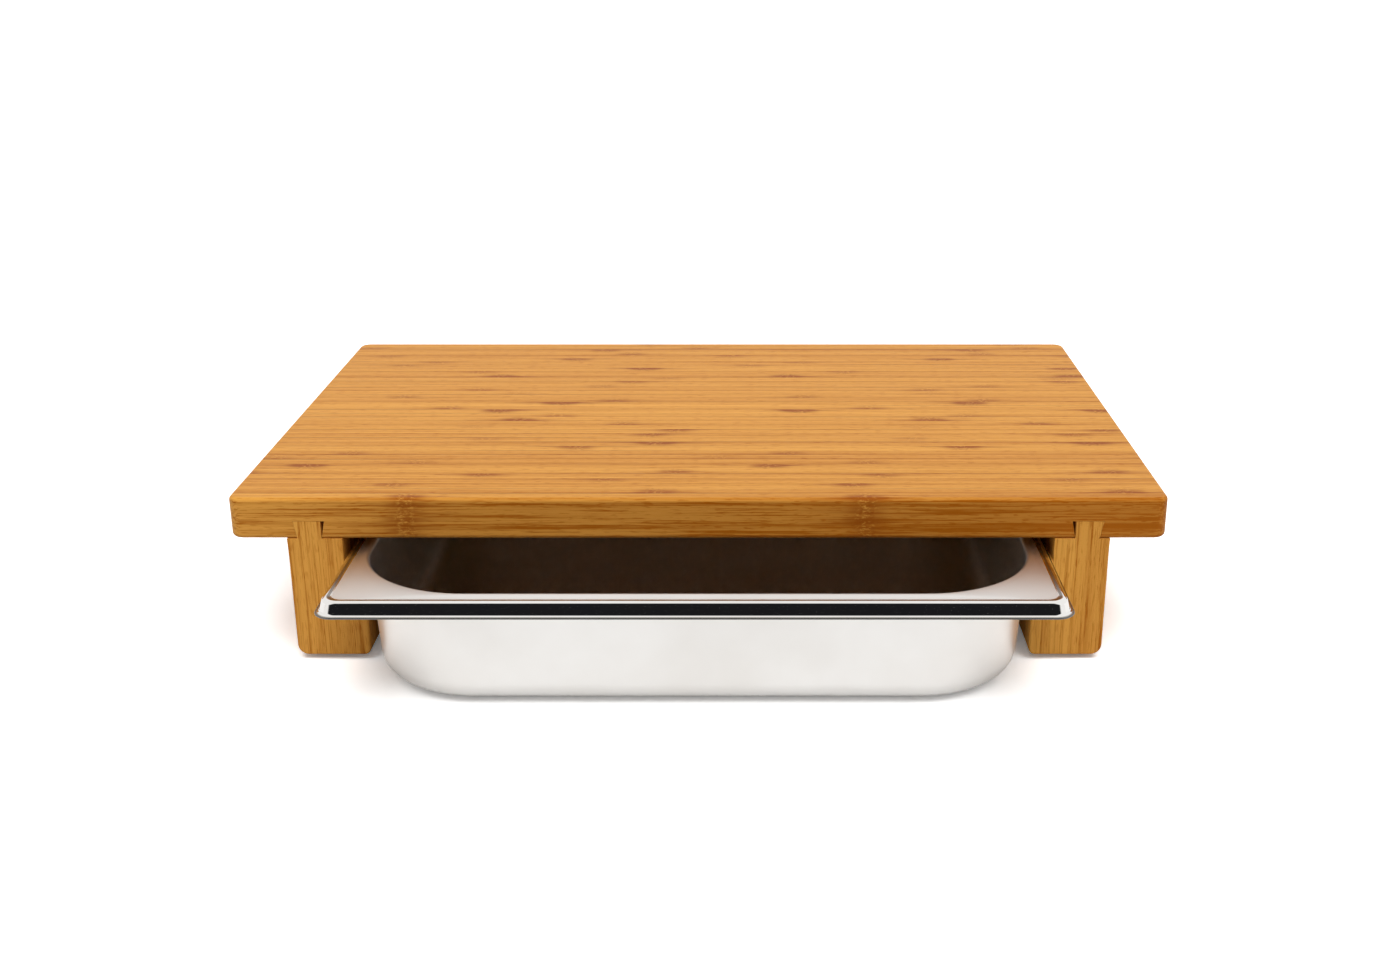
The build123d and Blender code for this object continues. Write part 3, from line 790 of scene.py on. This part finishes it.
class MakeStage(bpy.types.Operator):
    """Make the pale floor, the studio light and the camera"""
    bl_idname = "cutting_board.stage"
    bl_label = "Studio"

    def execute(self, context):
        stage = context.scene.stage_settings
        scene = context.scene
        scene.view_settings.view_transform = "Standard"
        self.make_floor(stage)
        self.make_world(stage)
        self.make_lamp("key_light", stage.key, 50, (22, 4, 0))
        self.make_lamp("front_light", stage.fill, 80, (62, 0, 12))
        self.make_flag()
        camera = bpy.data.cameras.new("camera")
        camera.lens = stage.focal_length
        camera.sensor_width = 36
        camera.shift_x = -51.33 / 1400  # pixels of a frame 1400 wide
        camera.clip_start = 0.01
        viewer = bpy.data.objects.new("camera", camera)
        viewer.location = (0.02424, -0.79704, 0.33552)
        viewer.rotation_euler = (math.pi / 2 - stage.tilt, 0, 0)
        scene.collection.objects.link(viewer)
        scene.camera = viewer
        return {"FINISHED"}

    def make_lamp(self, name, strength, spread, turn):
        """A sun as wide as a soft box, kept out of reflections. spread is its width and turn its turn, in degrees."""
        lamp = bpy.data.lights.new(name, "SUN")
        lamp.energy = strength
        lamp.angle = math.radians(spread)
        holder = bpy.data.objects.new(name, lamp)
        holder.rotation_euler = [math.radians(a) for a in turn]
        holder.visible_glossy = False
        bpy.context.scene.collection.objects.link(holder)

    def make_floor(self, stage):
        """A white floor: the camera sees it bright, so that only deep shadow shows, and it throws little light back."""
        material, output = new_material("white_floor")
        tree = material.node_tree
        rays = add_node(tree, "ShaderNodeLightPath").outputs
        shade = stage.floor_bounce
        for ray, whiteness in (("Is Camera Ray", stage.floor_seen), ("Is Glossy Ray", stage.floor_mirrored)):
            sockets = {0: rays[ray], 1: whiteness - stage.floor_bounce, 2: shade}
            shade = add_node(tree, "ShaderNodeMath", sockets, operation="MULTIPLY_ADD").outputs[0]
        paint = add_node(tree, "ShaderNodeBsdfDiffuse", {"Color": shade}).outputs[0]
        sockets = {0: rays["Is Camera Ray"], 1: stage.floor_glow}
        glow = add_node(tree, "ShaderNodeMath", sockets, operation="MULTIPLY").outputs[0]
        lit = add_node(tree, "ShaderNodeEmission", {"Strength": glow}).outputs[0]
        surface = add_node(tree, "ShaderNodeAddShader", {0: paint, 1: lit}).outputs[0]
        tree.links.new(surface, output.inputs["Surface"])
        mesh = bpy.data.meshes.new("floor")
        mesh.from_pydata([(-20, -20, 0), (20, -20, 0), (20, 20, 0), (-20, 20, 0)], [], [(0, 1, 2, 3)])
        mesh.materials.append(material)
        floor = bpy.data.objects.new("floor", mesh)
        bpy.context.scene.collection.objects.link(floor)

    def make_world(self, stage):
        """Even light all round. Camera and reflections see white, and reflections see the dark front of the room."""
        world = bpy.data.worlds.new("studio")
        bpy.context.scene.world = world
        world.use_nodes = True
        tree = world.node_tree
        tree.nodes.clear()
        rays = add_node(tree, "ShaderNodeLightPath").outputs
        way = add_node(tree, "ShaderNodeTexCoord").outputs["Generated"]
        axes = add_node(tree, "ShaderNodeSeparateXYZ", {"Vector": way}).outputs
        # The dark part fades out over the object, and 53 to 70 degrees up. It is lower towards the sides.
        aside = add_node(tree, "ShaderNodeMath", {0: axes["X"], 1: axes["X"]}, operation="MULTIPLY").outputs[0]
        rise = add_node(tree, "ShaderNodeMath", {0: aside, 1: 1.3, 2: axes["Z"]}, operation="MULTIPLY_ADD").outputs[0]
        dark = rays["Is Glossy Ray"]
        for height, low, high in ((axes["Y"], -0.35, 0.15), (rise, 0.80, 0.94)):
            sockets = {"Value": height, "From Min": low, "From Max": high, "To Min": 1.0, "To Max": 0.0}
            fade = add_node(tree, "ShaderNodeMapRange", sockets).outputs[0]
            dark = add_node(tree, "ShaderNodeMath", {0: dark, 1: fade}, operation="MULTIPLY").outputs[0]
        seen = rays["Is Camera Ray"]
        for ray in ("Is Glossy Ray", "Is Transmission Ray"):
            seen = add_node(tree, "ShaderNodeMath", {0: seen, 1: rays[ray]}, operation="MAXIMUM").outputs[0]
        strength = add_node(tree, "ShaderNodeMapRange", {"Value": seen, "To Min": stage.sky, "To Max": 1.0}).outputs[0]
        shades = {0: dark, 6: (1.0, 1.0, 1.0, 1.0), 7: (0.012, 0.012, 0.014, 1.0)}
        colour = add_node(tree, "ShaderNodeMix", shades, data_type="RGBA").outputs[2]
        background = add_node(tree, "ShaderNodeBackground", {"Color": colour, "Strength": strength}).outputs[0]
        output = add_node(tree, "ShaderNodeOutputWorld")
        tree.links.new(background, output.inputs["Surface"])

    def make_flag(self):
        """A black studio flag on the floor, well in front of the pulled-out tray, which only reflections see."""
        material, output = new_material("black_flag")
        tree = material.node_tree
        cloth = add_node(tree, "ShaderNodeBsdfDiffuse", {"Color": linear("#141414")}).outputs[0]
        tree.links.new(cloth, output.inputs["Surface"])
        mesh = bpy.data.meshes.new("flag")
        x, near, far, z = 3, -0.42, -5, 0.002
        mesh.from_pydata([(-x, far, z), (x, far, z), (x, near, z), (-x, near, z)], [], [(0, 1, 2, 3)])
        mesh.materials.append(material)
        flag = bpy.data.objects.new("flag", mesh)
        flag.visible_camera = False
        flag.visible_diffuse = False
        flag.visible_shadow = False
        flag.visible_transmission = False
        bpy.context.scene.collection.objects.link(flag)


OPERATORS = (MakeStage, MakeBoard, MakeLegs, MakePads, MakeTray)


class CuttingBoardPanel(bpy.types.Panel):
    """Buttons for each part of the cutting board"""
    bl_idname = "VIEW3D_PT_cutting_board"
    bl_label = "Cutting Board"
    bl_space_type = "VIEW_3D"
    bl_region_type = "UI"
    bl_category = "Cutting Board"

    def draw(self, context):
        for operator in OPERATORS:
            self.layout.operator(operator.bl_idname)
        for group, kind in GROUPS.items():
            box = self.layout.box()
            box.label(text=kind.__name__)
            for name in kind.__annotations__:
                box.prop(getattr(context.scene, group), name)


CLASSES = (BambooColours, *GROUPS.values(), *OPERATORS, CuttingBoardPanel)


def register():
    for kind in CLASSES:
        bpy.utils.register_class(kind)
    for name, kind in GROUPS.items():
        setattr(bpy.types.Scene, name, PointerProperty(type=kind))


def unregister():
    for name in GROUPS:
        delattr(bpy.types.Scene, name)
    for kind in reversed(CLASSES):
        bpy.utils.unregister_class(kind)


def main():
    """Makes every piece in turn."""
    register()
    bpy.ops.cutting_board.stage()
    bpy.ops.cutting_board.board()
    bpy.ops.cutting_board.legs()
    bpy.ops.cutting_board.pads()
    bpy.ops.cutting_board.tray()


if __name__ == "__main__":
    main()
